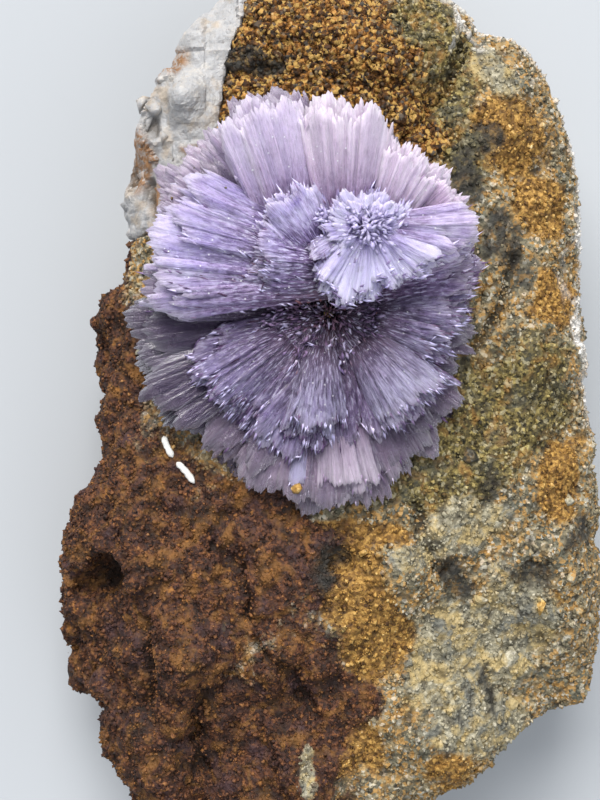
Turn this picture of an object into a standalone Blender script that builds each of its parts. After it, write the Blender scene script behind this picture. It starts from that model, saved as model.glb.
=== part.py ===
"""A creedite specimen: a lilac rosette of crystal sprays on iron-stained rock, with white quartz at one corner.

It lies on its broken back. +Z points up out of the crystal face, +Y runs to the specimen's top end, and the
origin is on the surface it lies on, under the middle of its bounding box. The driving sizes are in millimetres.
"""

import math
import random

import bmesh
import bpy
from mathutils import Matrix, Vector, noise

MM = 0.001

# Driving sizes of the rock
RIM_HEIGHT = 12.0
FACE_HEIGHT = 25.5
SIDE_FALL = 0.0060
END_FALL = 0.0035
BELOW_BASE = 3.0
EDGE_SHARPNESS = 5.6
GAP = 0.35

# Outline of the rock seen from above, clockwise from the top end
OUTLINE = [
    (-3.0, 48.0), (4.7, 47.9), (10.2, 46.8), (14.0, 44.6), (15.5, 42.1), (20.3, 41.5),
    (22.8, 38.5), (25.3, 34.1), (26.3, 25.9), (26.8, 14.9), (27.2, 2.8), (28.2, -8.3),
    (29.8, -19.3), (29.8, -28.3), (22.8, -31.6), (16.8, -36.6), (9.1, -41.3), (4.1, -45.1),
    (-1.9, -47.6), (-10.7, -47.9), (-17.9, -45.7), (-21.7, -41.3), (-23.7, -35.8), (-25.9, -30.3),
    (-29.4, -28.6), (-30.0, -23.7), (-28.8, -17.0), (-28.3, -12.1), (-27.0, -8.3), (-24.1, -1.7),
    (-24.1, 3.9), (-26.0, 8.3), (-25.0, 13.2), (-21.9, 15.1), (-20.8, 19.3), (-21.3, 24.2),
    (-22.2, 30.3), (-23.0, 33.0), (-23.0, 37.5), (-21.0, 38.4), (-21.0, 41.0), (-19.5, 42.6),
    (-14.0, 45.4), (-8.5, 47.3),
]

# Lumps and pits of the face: x, y, radius and height, with a pit's height below zero
LUMPS = [
    (-25.5, 8.5, 4.5, -6.5),
    (-28.0, -24.5, 5.5, -5.5),
    (-25.5, -17.0, 2.6, -5.0),
    (-20.0, -7.5, 6.0, 2.4),
    (-21.0, -13.0, 4.0, 1.8),
    (-15.0, -24.0, 7.5, 2.4),
    (-17.0, -35.0, 6.0, 1.6),
    (-6.0, -18.0, 6.5, 1.2),
    (0.6, -14.5, 2.4, -1.6),
    (-2.0, -37.0, 6.0, 1.5),
    (20.0, -25.0, 10.0, -3.6),
    (12.0, -30.0, 5.0, 1.2),
    (24.5, -12.0, 6.0, 1.0),
    (21.0, 8.0, 7.0, 1.3),
    (19.0, 32.0, 6.0, 1.5),
    (-6.0, 42.0, 5.0, 1.4),
    (3.5, 39.0, 5.0, 1.6),
    (9.5, 43.0, 4.0, 1.2),
    (-20.5, 35.0, 3.2, 2.6),
    (-14.5, 32.5, 3.0, 2.4),
    (-17.5, 38.8, 2.4, -1.8),
    (-12.5, 40.0, 4.5, 0.9),
]

# Open cracks of the face: start and end, half width and depth
CRACKS = [
    ((15.5, 42.5), (8.0, 30.5), 0.9, 1.8),
    ((-14.2, -29.5), (-13.6, -41.0), 0.8, 2.4),
]

# Broken planes of the sides and back: azimuth and elevation of the way they face, distance from the rock's middle
FRACTURES = [
    (62.0, 8.0, 45.5),
    (20.0, -14.0, 31.0),
    (-8.0, 20.0, 30.2),
    (4.0, -38.0, 28.0),
    (-33.0, -30.0, 33.5),
    (-62.0, 14.0, 43.5),
    (-95.0, -24.0, 43.5),
    (-84.0, -48.0, 38.0),
    (-140.0, -28.0, 36.5),
    (176.0, -34.0, 24.5),
    (168.0, 22.0, 28.0),
    (150.0, -22.0, 26.5),
    (122.0, 30.0, 44.5),
    (100.0, -30.0, 42.5),
    (78.0, -52.0, 36.0),
]

RINGS = 80
SEGMENTS = 176
ROCK_DETAIL = 0.14

# The white quartz block: corners of its cut through the rock, seen from above, and the step it is cut down to
QUARTZ_CUT = [(-7.4, 60.0), (-8.6, 44.0), (-11.0, 35.5), (-11.8, 28.5), (-15.5, 20.5), (-40.0, 17.5), (-40.0, 60.0)]
QUARTZ_BASE = 7.0

# The smooth bed that the rosette grows on: middle and half lengths
BED_MIDDLE = (-1.5, 12.5)
BED_HALF = (20.5, 23.0)
BED_STEPS = 14

# The rosette
HUB = (0.0, 11.6, 24.3)
CORE_RADIUS = 6.6
CORE_SQUASH = 0.9
BLADE_WIDTH = 2.35
FLUTE = 0.4
SHOULDER = 0.89
SEED = 7


def to_mesh(name, bm):
    """Turns a finished bmesh into a mesh."""
    mesh = bpy.data.meshes.new(name)
    bm.to_mesh(mesh)
    bm.free()
    return mesh


def blend(t):
    """Eases from 0 to 1 as t goes from 0 to 1."""
    t = max(0.0, min(1.0, t))
    return t * t * (3.0 - 2.0 * t)


def reach(angle):
    """Distance from the middle to the outline along this angle."""
    way = (math.cos(angle), math.sin(angle))
    farthest = 0.0
    for (ax, ay), (bx, by) in zip(OUTLINE, OUTLINE[1:] + OUTLINE[:1]):
        ex, ey = bx - ax, by - ay
        across = way[0] * ey - way[1] * ex
        if abs(across) < 1e-9:
            continue
        distance = (ax * ey - ay * ex) / across
        share = (ax * way[1] - ay * way[0]) / across
        if distance > 0.0 and 0.0 <= share <= 1.0:
            farthest = max(farthest, distance)
    return farthest


def crack_depth(x, y):
    """How far the cracks lower the face here."""
    depth = 0.0
    for (ax, ay), (bx, by), half_width, deepest in CRACKS:
        ex, ey = bx - ax, by - ay
        share = max(0.0, min(1.0, ((x - ax) * ex + (y - ay) * ey) / (ex * ex + ey * ey)))
        away = math.hypot(x - ax - share * ex, y - ay - share * ey)
        depth = max(depth, deepest * blend(1.0 - away / (2.0 * half_width)))
    return depth


def bed_height(x, y):
    """Height of the face without its relief: a low ridge along Y that falls away to the sides and the bottom end."""
    return FACE_HEIGHT - SIDE_FALL * x * x - END_FALL * min(0.0, y + 12.0) ** 2


def off_the_bed(x, y):
    """0 on the rosette's bed, and 1 well away from it."""
    away = math.hypot((x - BED_MIDDLE[0]) / BED_HALF[0], (y - BED_MIDDLE[1]) / BED_HALF[1])
    return blend((away - 0.9) / 0.22)


def face_height(x, y):
    """Height of the crystal face with its lumps, pits and cracks."""
    relief = -crack_depth(x, y)
    for bump_x, bump_y, radius, height in LUMPS:
        apart = math.hypot(x - bump_x, y - bump_y) / radius
        relief += height * math.exp(-1.6 * apart * apart)
    return bed_height(x, y) + relief * off_the_bed(x, y)


def roughness(p):
    """Lumpy relief of the broken rock along its normal, strongest on the rusty bottom left."""
    broad = noise.fractal(p / 9.0, 0.9, 2.1, 4)
    hackly = noise.ridged_multi_fractal(p / 6.5 + Vector((5.0, 1.0, 3.0)), 0.9, 2.2, 3, 0.9, 2.0)
    faded = off_the_bed(p.x, p.y) if p.z > RIM_HEIGHT else 1.0
    strength = 1.0 + 0.6 * blend((8.0 - p.x) / 16.0) * blend((-4.0 - p.y) / 12.0)
    return (1.25 * broad + 0.75 * (hackly - 1.2)) * faded * strength


def scraped(p):
    """The point moved back onto each broken plane that it stands out of."""
    middle = Vector((0.0, 0.0, RIM_HEIGHT))
    for azimuth, elevation, distance in FRACTURES:
        a, e = math.radians(azimuth), math.radians(elevation)
        facing = Vector((math.cos(a) * math.cos(e), math.sin(a) * math.cos(e), math.sin(e)))
        over = (p - middle).dot(facing) - distance
        if over > 0.0:
            p = p - facing * over * 0.9
    return p


def rock_point(ring, segment):
    """A point of the smooth rock: rings run from the middle of the face, round the rim, to the middle of the back."""
    t = ring / RINGS
    tilt = math.pi * (t - 0.45 * math.sin(2.0 * math.pi * t) / (2.0 * math.pi))
    s, c = math.sin(tilt), math.cos(tilt)
    size = (s**EDGE_SHARPNESS + abs(c) ** EDGE_SHARPNESS) ** (-1.0 / EDGE_SHARPNESS)
    angle = 2.0 * math.pi * segment / SEGMENTS
    out = s * size * reach(angle)
    x, y = out * math.cos(angle), out * math.sin(angle)
    if c >= 0.0:
        z = RIM_HEIGHT + (face_height(x, y) - RIM_HEIGHT) * c * size
    else:
        z = RIM_HEIGHT + (RIM_HEIGHT + BELOW_BASE) * c * size
    return Vector((x, y, z))


def rock_mesh():
    """The whole stone as one dense closed mesh, quartz corner included."""
    bm = bmesh.new()
    top = bm.verts.new(rock_point(0, 0))
    rows = [[bm.verts.new(rock_point(r, s)) for s in range(SEGMENTS)] for r in range(1, RINGS)]
    bottom = bm.verts.new(rock_point(RINGS, 0))
    for s in range(SEGMENTS):
        after = (s + 1) % SEGMENTS
        bm.faces.new((top, rows[0][s], rows[0][after]))
        bm.faces.new((bottom, rows[-1][after], rows[-1][s]))
        for upper, lower in zip(rows, rows[1:]):
            bm.faces.new((upper[s], lower[s], lower[after], upper[after]))
    bm.normal_update()
    for v in bm.verts:
        v.co = scraped(v.co + v.normal * roughness(v.co))
    for v in bm.verts:
        v.co = Vector((v.co.x, v.co.y, max(0.0, v.co.z))) * MM
    bmesh.ops.triangulate(bm, faces=bm.faces)
    return to_mesh("rock", bm)


def thinned_mesh(mesh):
    """The same mesh with fewer faces where it is smooth."""
    rock = add_object("dense_rock", mesh)
    fewer = rock.modifiers.new("fewer faces", "DECIMATE")
    fewer.ratio = ROCK_DETAIL
    seen = rock.evaluated_get(bpy.context.evaluated_depsgraph_get())
    made = bpy.data.meshes.new_from_object(seen)
    bpy.data.objects.remove(rock)
    return made


def middle_of(mesh):
    """The middle of the mesh as seen from above."""
    sides = [[v.co[i] for v in mesh.vertices] for i in range(2)]
    return Vector([(min(side) + max(side)) / 2.0 for side in sides] + [0.0])


def prism_mesh(name, corners, low, high):
    """An upright prism on these corners, from low to high."""
    bm = bmesh.new()
    base = bm.faces.new([bm.verts.new((x * MM, y * MM, low * MM)) for x, y in corners])
    raised = bmesh.ops.extrude_face_region(bm, geom=[base])
    lifted = [v for v in raised["geom"] if isinstance(v, bmesh.types.BMVert)]
    bmesh.ops.translate(bm, verts=lifted, vec=(0.0, 0.0, (high - low) * MM))
    bmesh.ops.recalc_face_normals(bm, faces=bm.faces)
    return to_mesh(name, bm)


def widened(corners, by):
    """The corners of a closed shape moved out, away from its middle, by this distance."""
    middle_x = sum(x for x, _ in corners) / len(corners)
    middle_y = sum(y for _, y in corners) / len(corners)
    made = []
    for x, y in corners:
        away = math.hypot(x - middle_x, y - middle_y)
        made.append((x + (x - middle_x) / away * by, y + (y - middle_y) / away * by))
    return made


def spray_mesh(azimuth, elevation, length, half_width, thickness, lean, shuffle):
    """A fan of blades side by side, narrow at the hub, fluted on both faces and toothed at its outer edge."""
    blades = max(3, round(2.0 * half_width / BLADE_WIDTH))
    columns = 2 * blades + 1
    bm = bmesh.new()
    tops, bottoms = [], []
    for share, wide, thick in ((0.0, 0.16, 0.5), (SHOULDER, 1.0, 1.0)):
        upper, lower = [], []
        for k in range(columns):
            q = 2.0 * k / (columns - 1) - 1.0
            ridge = FLUTE * (1.0 if k % 2 else -1.0) * wide
            crown = thickness * thick * math.sqrt(1.0 - 0.72 * q * q)
            along = length * share * (1.0 - 0.13 * q * q) + shuffle.uniform(-0.2, 0.2)
            across = half_width * wide * q
            upper.append(bm.verts.new((along, across, crown + ridge)))
            lower.append(bm.verts.new((along, across, -0.55 * crown - ridge)))
        tops.append(upper)
        bottoms.append(lower)
    for k in range(columns - 1):
        bm.faces.new((tops[0][k], tops[1][k], tops[1][k + 1], tops[0][k + 1]))
        bm.faces.new((bottoms[0][k + 1], bottoms[1][k + 1], bottoms[1][k], bottoms[0][k]))
        bm.faces.new((tops[0][k], tops[0][k + 1], bottoms[0][k + 1], bottoms[0][k]))
    for k in (0, columns - 1):
        bm.faces.new((tops[0][k], bottoms[0][k], bottoms[1][k], tops[1][k]))
    for k in range(1, columns, 2):
        q = 2.0 * k / (columns - 1) - 1.0
        along = length * (1.0 - 0.15 * q * q) * shuffle.uniform(0.93, 1.02)
        height = 0.15 * thickness + shuffle.uniform(-0.3, 0.3)
        tip = bm.verts.new((along, half_width * 1.06 * q, height))
        ring = [tops[1][k - 1], tops[1][k], tops[1][k + 1], bottoms[1][k + 1], bottoms[1][k], bottoms[1][k - 1]]
        for a, b in zip(ring, ring[1:] + ring[:1]):
            bm.faces.new((a, b, tip))
    bmesh.ops.recalc_face_normals(bm, faces=bm.faces)
    turn = Matrix.Rotation(math.radians(azimuth), 4, "Z") @ Matrix.Rotation(math.radians(-elevation), 4, "Y")
    place = Matrix.Translation(Vector(HUB)) @ turn @ Matrix.Rotation(math.radians(lean), 4, "X")
    bmesh.ops.transform(bm, matrix=Matrix.Scale(MM, 4) @ place, verts=bm.verts)
    bmesh.ops.triangulate(bm, faces=bm.faces)
    return to_mesh("spray", bm)


# Every spray: azimuth, elevation, length, half width, thickness and lean
OUTER_SPRAYS = [
    (9, 7, 15.9, 4.3, 1.2, 0),
    (-11, 6, 15.0, 4.2, 1.2, 0),
    (-28, 6, 15.6, 4.2, 1.2, 4),
    (-45, 7, 17.1, 4.4, 1.3, 0),
    (-61, 7, 18.8, 4.4, 1.2, -4),
    (-77, 8, 20.1, 4.4, 1.3, 0),
    (-92, 8, 19.3, 4.4, 1.3, 3),
    (-108, 8, 19.5, 4.4, 1.2, 0),
    (-124, 7, 18.6, 4.5, 1.3, -5),
    (-141, 7, 17.8, 4.5, 1.2, 0),
    (-158, 7, 20.0, 4.6, 1.6, 6),
    (-174, 8, 19.1, 4.6, 1.6, 0),
    (134, 12, 20.3, 5.2, 1.6, 0),
    (120, 16, 21.7, 5.2, 1.8, 8),
    (105, 22, 24.2, 5.6, 2.0, 4),
    (84, 24, 23.4, 6.4, 2.2, -4),
    (64, 16, 19.6, 5.0, 1.8, 0),
    (47, 12, 18.8, 4.6, 1.6, 0),
    (29, 10, 17.4, 4.4, 1.4, 0),
]
MIDDLE_SPRAYS = [
    (166, 20, 21.2, 5.8, 2.4, -8),
    (178, 22, 20.2, 4.0, 2.2, -12),
    (156, 30, 20.4, 5.2, 2.2, 0),
    (-146, 29, 13.9, 4.4, 2.2, 6),
    (-118, 22, 14.6, 4.2, 2.0, 0),
    (-94, 34, 11.8, 3.4, 2.2, 0),
    (-56, 31, 13.0, 4.2, 2.2, 0),
    (-8, 28, 13.0, 4.2, 2.0, 0),
    (-80, 16, 17.4, 4.0, 1.8, 0),
    (-101, 17, 17.1, 2.2, 1.6, 0),
    (22, 27, 17.4, 4.4, 2.2, 10),
    (40, 36, 17.6, 4.6, 2.2, 6),
    (138, 26, 20.0, 4.8, 2.2, 0),
    (116, 36, 21.6, 5.4, 2.2, 0),
    (84, 37, 21.6, 6.0, 2.4, 0),
    (62, 32, 19.8, 4.8, 2.0, 0),
]
UPPER_SPRAYS = [
    (146, 44, 16.4, 4.8, 2.4, 0),
    (122, 49, 17.2, 4.8, 2.4, 0),
    (90, 50, 17.6, 5.2, 2.6, 0),
    (20, 45, 15.6, 4.2, 2.4, 0),
    (58, 55, 17.0, 5.8, 2.6, 0),
    (64, 68, 16.2, 5.8, 2.6, 0),
    (74, 82, 15.0, 5.2, 2.6, 0),
]


def material(name, colour, roughness, transmission=0.0):
    """A plain finish for one mineral."""
    made = bpy.data.materials.new(name)
    made.use_nodes = True
    shader = made.node_tree.nodes["Principled BSDF"]
    shader.inputs["Base Color"].default_value = (*colour, 1.0)
    shader.inputs["Roughness"].default_value = roughness
    shader.inputs["Transmission Weight"].default_value = transmission
    made.diffuse_color = (*colour, 1.0)
    return made


def add_object(name, mesh, finish=None):
    """A named object that holds this mesh."""
    made = bpy.data.objects.new(name, mesh)
    bpy.context.scene.collection.objects.link(made)
    if finish:
        made.data.materials.append(finish)
    return made


def as_helper(helper):
    """Marks a cutter, which isn't part of the specimen."""
    helper.hide_render = True
    helper.display_type = "WIRE"
    return helper


def join_or_cut(target, operation, other):
    """A Boolean of one object with another."""
    cut = target.modifiers.new(operation.lower(), "BOOLEAN")
    cut.operation = operation
    cut.object = other


def build_rock(stone):
    """The iron-stained rock and the quartz block, parted by a clean gap."""
    block = as_helper(add_object("quartz_cut", prism_mesh("quartz_cut", QUARTZ_CUT, QUARTZ_BASE, 60.0)))
    socket_shape = prism_mesh("quartz_socket", widened(QUARTZ_CUT, 1.6 * GAP), QUARTZ_BASE - GAP, 60.0)
    socket = as_helper(add_object("quartz_socket", socket_shape))
    matrix = add_object("matrix_rock", stone, material("rusty rock", (0.30, 0.17, 0.07), 0.85))
    quartz = add_object("quartz_block", stone.copy())
    quartz.data.materials.clear()
    quartz.data.materials.append(material("white quartz", (0.78, 0.75, 0.70), 0.45))
    join_or_cut(matrix, "DIFFERENCE", socket)
    join_or_cut(quartz, "INTERSECT", block)


def core_mesh():
    """The rounded heart of the rosette, where the sprays meet."""
    bm = bmesh.new()
    bmesh.ops.create_icosphere(bm, subdivisions=2, radius=CORE_RADIUS)
    bmesh.ops.scale(bm, vec=(1.0, 1.0, CORE_SQUASH), verts=bm.verts)
    bmesh.ops.transform(bm, matrix=Matrix.Scale(MM, 4) @ Matrix.Translation(Vector(HUB)), verts=bm.verts)
    return to_mesh("core", bm)


def bed_mesh():
    """A block with a top a small gap above the rosette's bed."""
    bm = bmesh.new()
    bmesh.ops.create_grid(bm, x_segments=BED_STEPS, y_segments=BED_STEPS, size=1.0)
    for v in bm.verts:
        x = BED_MIDDLE[0] + v.co.x * BED_HALF[0] * 1.3
        y = BED_MIDDLE[1] + v.co.y * BED_HALF[1] * 1.3
        v.co = (x, y, bed_height(x, y) + GAP)
    floor = bmesh.ops.extrude_face_region(bm, geom=bm.faces[:])
    for v in floor["geom"]:
        if isinstance(v, bmesh.types.BMVert):
            v.co.z = RIM_HEIGHT
    bmesh.ops.recalc_face_normals(bm, faces=bm.faces)
    bmesh.ops.scale(bm, vec=(MM, MM, MM), verts=bm.verts)
    bmesh.ops.triangulate(bm, faces=bm.faces)
    return to_mesh("bed", bm)


def build_rosette():
    """All the sprays and the core joined in one solid, cut clear of the bed."""
    shuffle = random.Random(SEED)
    lilac = material("lilac creedite", (0.58, 0.48, 0.68), 0.18, 0.35)
    rosette = add_object("creedite_rosette", core_mesh(), lilac)
    for row in OUTER_SPRAYS + MIDDLE_SPRAYS + UPPER_SPRAYS:
        spray = as_helper(add_object("spray", spray_mesh(*row, shuffle)))
        join_or_cut(rosette, "UNION", spray)
    join_or_cut(rosette, "DIFFERENCE", as_helper(add_object("bed", bed_mesh())))


def main():
    for old in list(bpy.data.objects):
        bpy.data.objects.remove(old)
    stone = thinned_mesh(rock_mesh())
    build_rock(stone)
    build_rosette()
    for made in bpy.data.objects:
        made.location = -middle_of(stone)


main()
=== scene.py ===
"""The creedite specimen's looks: fine crystal blades, druse and rock surface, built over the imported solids.

Lengths in the tables are millimetres in the row frame, with +Z up out of the crystal face.
"""

import math

import bmesh
import bpy
import numpy as np
from mathutils import Matrix, Vector, noise


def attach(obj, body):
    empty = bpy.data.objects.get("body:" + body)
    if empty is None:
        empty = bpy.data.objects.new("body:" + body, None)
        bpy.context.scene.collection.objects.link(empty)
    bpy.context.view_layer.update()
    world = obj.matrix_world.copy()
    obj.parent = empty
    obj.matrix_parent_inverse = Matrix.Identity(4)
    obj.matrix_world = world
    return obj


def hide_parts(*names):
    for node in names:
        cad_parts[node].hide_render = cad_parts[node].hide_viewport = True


MM = 0.001
SEED = 11

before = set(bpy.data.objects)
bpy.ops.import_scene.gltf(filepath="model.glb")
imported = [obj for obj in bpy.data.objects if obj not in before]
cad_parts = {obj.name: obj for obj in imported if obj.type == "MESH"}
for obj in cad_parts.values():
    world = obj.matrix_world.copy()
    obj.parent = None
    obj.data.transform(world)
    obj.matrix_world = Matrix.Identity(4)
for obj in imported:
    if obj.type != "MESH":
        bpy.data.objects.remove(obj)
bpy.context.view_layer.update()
scene = bpy.context.scene

# The photograph's view: the camera's place in metres, half the view's width over its distance, sensor width
CAMERA_PLACE = (-0.00318, 0.00277, 0.162)
HALF_VIEW = 44 / 150
SENSOR = 36

# The rosette's hub, and its fans: root x, y and z from the hub, azimuth, elevation and lean in degrees,
# length, half angles across and up, half width at the root, droop, arch, layers, blade width, then how pink,
# frosted and ragged. Frost below 0 is clear and dark: partly the crystal's own see-through dark, partly
# painted shade where higher fans hang over it.
HUB = Vector((-0.18, 11.62, 24.3))
OUTER_FANS = [
    (0, 0, 0.4, 9, 7, 0, 13.8, 15, 4, 0.6, 0.3, 0.4, 3, 0.5, 0.9, -0.2, 0.08),
    (0, 0, 0.2, -11, 6, 0, 13.6, 16, 4, 0.6, 0.3, 0.4, 3, 0.5, 0.9, -0.3, 0.06),
    (0, 0, 0.2, -28, 6, 4, 14.4, 15, 4, 0.6, 0.3, 0.4, 3, 0.5, 0.9, -0.3, 0.07),
    (0, 0, 0.2, -45, 7, 0, 15.9, 14, 4, 0.6, 0.3, 0.4, 3, 0.5, 0.9, -0.2, 0.07),
    (0, 0, 0.2, -61, 7, -4, 17.6, 13, 4, 0.6, 0.3, 0.4, 3, 0.5, 0.9, -0.2, 0.07),
    (0, 0, 0.4, -77, 8, 0, 19.5, 12, 4, 0.6, 0.3, 0.4, 3, 0.5, 0.9, -0.1, 0.07),
    (0, 0, 0.4, -92, 8, 3, 19.7, 12, 4, 0.6, 0.3, 0.4, 3, 0.5, 0.9, 0, 0.06),
    (0, 0, 0.2, -108, 8, 0, 19.7, 12, 4, 0.6, 0.3, 0.4, 3, 0.5, 0.9, 0, 0.07),
    (0, 0, 0.2, -124, 7, -5, 18.4, 14, 4, 0.6, 0.3, 0.4, 3, 0.5, 0.9, -0.2, 0.06),
    # These three lie under the left upper fans: their frost below 0 is partly painted shade.
    (0, 0, 0.2, -141, 7, 0, 17.7, 14, 3, 0.6, 0.4, 0.3, 2, 0.6, 0.3, -0.6, 0.05),
    (0, 0, 0.8, -157, 8, 8, 20.2, 14, 3, 0.6, 0.6, 0.3, 2, 0.6, 0.2, -0.6, 0.04),
    (0, 0, 0.8, -175, 8, 0, 19.1, 13, 3, 0.6, 0.5, 0.3, 2, 0.6, 0.2, -0.6, 0.05),
    (0, 0, 0.4, 168, 9, 0, 18.6, 13, 5, 0.6, 0.3, 0.4, 3, 0.5, 0.5, 0.1, 0.05),
    (0, 0, 0.4, 152, 10, 0, 19, 14, 5, 0.6, 0.3, 0.4, 3, 0.5, 0.8, 0, 0.05),
    (0, 0, 0.4, 134, 12, 0, 19.4, 14, 5, 0.6, 0.3, 0.4, 3, 0.5, 0.8, 0.1, 0.05),
    (0, 0, 0.4, 120, 14, 8, 19.6, 13, 5, 0.6, 0.3, 0.4, 3, 0.5, 0.7, 0.1, 0.05),
    (0, 0, 0.4, 109, 17, 4, 18.9, 13, 5, 0.6, 0.3, 0.4, 3, 0.5, 0.6, 0.2, 0.05),
    (0, 0, 0.4, 84, 17, -4, 18.8, 15, 5, 0.6, 0.3, 0.4, 3, 0.5, 0.8, 0.3, 0.05),
    (0, 0, 0.4, 64, 14, 0, 16.2, 14, 5, 0.6, 0.3, 0.4, 3, 0.5, 0.9, 0.3, 0.05),
    (0, 0, 0.4, 47, 12, 0, 15.6, 14, 5, 0.6, 0.3, 0.4, 3, 0.5, 0.9, 0.2, 0.05),
    (0, 0, 0.4, 29, 10, 0, 14.5, 14, 5, 0.6, 0.3, 0.4, 3, 0.5, 0.6, 0, 0.05),
]
MIDDLE_FANS = [
    (-0.6, -0.6, 1.6, -160, 17, 4, 12.6, 15, 4, 0.9, 1.6, 0.8, 3, 0.5, 0.1, -0.15, 0.12),
    (-0.6, -0.6, 1.6, -128, 18, 0, 12.2, 16, 4, 0.9, 1.6, 0.8, 3, 0.5, 0.1, -0.2, 0.12),
    (0, -0.8, 1.6, -104, 18, 0, 14.4, 13, 4, 0.9, 1.6, 0.8, 3, 0.45, 0.2, -0.1, 0.12),
    (0.3, -0.8, 1.6, -78, 16, 0, 13.4, 13, 4, 0.9, 1.6, 0.8, 3, 0.45, 0.5, -0.2, 0.12),
    (0.6, -0.6, 1.6, -52, 17, 0, 12.6, 15, 4, 0.9, 1.6, 0.8, 3, 0.5, 0.2, -0.2, 0.12),
    (0.8, 0, 1.6, -26, 16, 0, 11.2, 16, 4, 0.9, 1.6, 0.8, 3, 0.5, 0.1, -0.2, 0.12),
    (0.8, 0.4, 1.6, 2, 14, 0, 12, 16, 4, 0.9, 1.2, 0.8, 3, 0.5, 0.1, 0, 0.1),
    (-4.2, -2.8, 3, -143, 34, 0, 8.6, 18, 4, 1.6, 3.8, 2, 5, 0.4, 0.1, 0.05, 0.14),
    (-3, -6, 2.2, -119, 30, 0, 7.6, 15, 4, 1.4, 3.6, 1.6, 5, 0.4, 0.1, 0.4, 0.12),
    (-0.8, -3.6, 3.2, -99, 38, 0, 7.8, 13, 4, 1.2, 3.8, 1.6, 5, 0.4, 0, 0.75, 0.14),
    (3.2, -3.2, 3.2, -50, 36, 0, 8, 20, 4, 1.6, 3.8, 2, 5, 0.4, 0.1, 1.1, 0.14),
    (4.6, -0.6, 3, -9, 34, 0, 6.8, 19, 4, 1.5, 3.6, 1.6, 5, 0.4, 0.1, 0.4, 0.14),
    (0.8, -10.2, 2.2, -84, 30, 0, 7.2, 15, 4, 1.8, 3.4, 1.4, 5, 0.4, 1, 1.7, 0.14),
    (-2.2, -10.6, 1.6, -101, 26, 0, 6.8, 7, 3, 1, 2.6, 0.6, 4, 0.4, 0, 1.3, 0.1),
    (-5, 7, 2.2, 141, 15, 6, 12.4, 17, 4, 2.6, 0.8, 0.8, 3, 0.5, 0.85, 0.2, 0.06),
    (-2.6, 9, 2.8, 118, 16, 4, 12.2, 15, 4, 2.4, 0.5, 0.6, 3, 0.5, 0.7, 0.2, 0.06),
    (5.8, 7, 2.4, 44, 19, -4, 7.4, 24, 5, 2.8, 0.8, 0.8, 4, 0.4, 0.9, 0.4, 0.1),
    (5, 4, 2.2, 19, 16, 0, 8.8, 18, 5, 2.2, 0.8, 0.8, 4, 0.45, 0.6, 0.2, 0.1),
]
UPPER_FANS = [
    (1, 2.6, 4.4, 177, 10, 14, 19.6, 8, 3, 1.4, 1.2, 0.8, 3, 0.5, 0.35, 0.2, 0.1),
    (0.6, 3.4, 5, 166, 9, 6, 18.4, 7, 3, 1.6, 0.8, 0.6, 3, 0.5, 0.15, 0.3, 0.1),
    (-0.8, 5.2, 4.6, 157, 9, 6, 15.8, 6, 3, 1.8, 0.5, 0.6, 3, 0.5, 0.2, 0.3, 0.08),
    (-4, 8, 4.4, 107, 23, 0, 12.2, 10, 4, 2.4, 0.4, 0.8, 3, 0.5, 0.65, 0.8, 0.08),
    (1.4, 8.2, 4.8, 91, 27, 0, 11.9, 11, 5, 2.2, 0.8, 1, 4, 0.4, 1, 1.3, 0.09),
    (4.6, 8, 4.6, 68, 25, 0, 8, 18, 5, 2.2, 0.8, 0.8, 4, 0.4, 1, 1.1, 0.09),
    (6.2, 7, 4, 42, 22, 0, 7.2, 20, 5, 2, 0.8, 0.8, 4, 0.4, 1, 0.4, 0.1),
    # These two lie under the awning's right side: their frost below 0 is partly painted shade.
    (2.6, 3.6, 3, 27, 17, -12, 11.6, 11, 5, 2.2, 1.4, 1, 3, 0.45, 0.5, -0.1, 0.12),
    (3.4, 2.8, 2.6, 12, 16, -8, 10.4, 9, 5, 1.8, 1.6, 0.8, 3, 0.45, 0.4, -0.25, 0.12),
    (3, 7.6, 7.3, -144, 18, 0, 5, 15, 4, 0.7, 2, 0.8, 4, 0.35, 0.1, 0.6, 0.12),
    (3, 7.6, 7.5, -121, 16, 0, 6.8, 11, 4, 0.7, 2, 0.8, 4, 0.35, 0, 1.1, 0.12),
    (3, 7.6, 7.7, -105, 15, 0, 7.1, 9, 4, 0.7, 1.8, 0.8, 4, 0.35, 0, 1.6, 0.1),
    (3, 7.6, 7.7, -91, 15, 0, 6.5, 9, 4, 0.7, 1.8, 0.8, 4, 0.35, 0, 1.6, 0.1),
    (3, 7.6, 7.7, -75, 15, 0, 5.4, 12, 4, 0.7, 1.8, 0.8, 4, 0.35, 0, 1.5, 0.12),
    (3.2, 7.6, 7.9, -58, 14, 0, 6.2, 11, 4, 0.7, 1.8, 0.8, 4, 0.35, 0, 1.3, 0.12),
    (3.4, 7.6, 7.9, -43, 14, 0, 6, 12, 4, 0.7, 1.6, 0.8, 4, 0.35, 0.05, 1.1, 0.14),
    (3.6, 7.6, 7.9, -27, 13, 0, 7, 11, 4, 0.8, 1.4, 0.8, 4, 0.35, 0.15, 0.8, 0.14),
    (3.8, 7.6, 7.7, -13, 13, 0, 8.4, 9, 4, 0.8, 1.2, 0.8, 4, 0.4, 0.3, 0.5, 0.12),
    (4, 7.6, 7.3, 0, 13, 0, 9.6, 9, 4, 0.9, 1, 0.8, 4, 0.4, 0.45, 0.4, 0.1),
    (-0.6, 4.2, 4.8, 168, 38, 0, 6.6, 24, 5, 2.4, 4, 1.6, 5, 0.35, 0, 0.3, 0.18),
    (-2.2, 6, 6, 130, 34, 0, 5, 26, 5, 2.6, 3.4, 1.2, 5, 0.35, 0.1, 0.6, 0.18),
    (-6, 4.8, 4.8, 160, 20, 0, 5.4, 24, 5, 2.2, 2, 0.8, 4, 0.35, 0.1, 0.3, 0.18),
    (-9.6, 3.6, 5, 170, 14, 0, 4.6, 22, 5, 2.2, 1.6, 0.8, 3, 0.35, 0.1, 0.3, 0.18),
]
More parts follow.
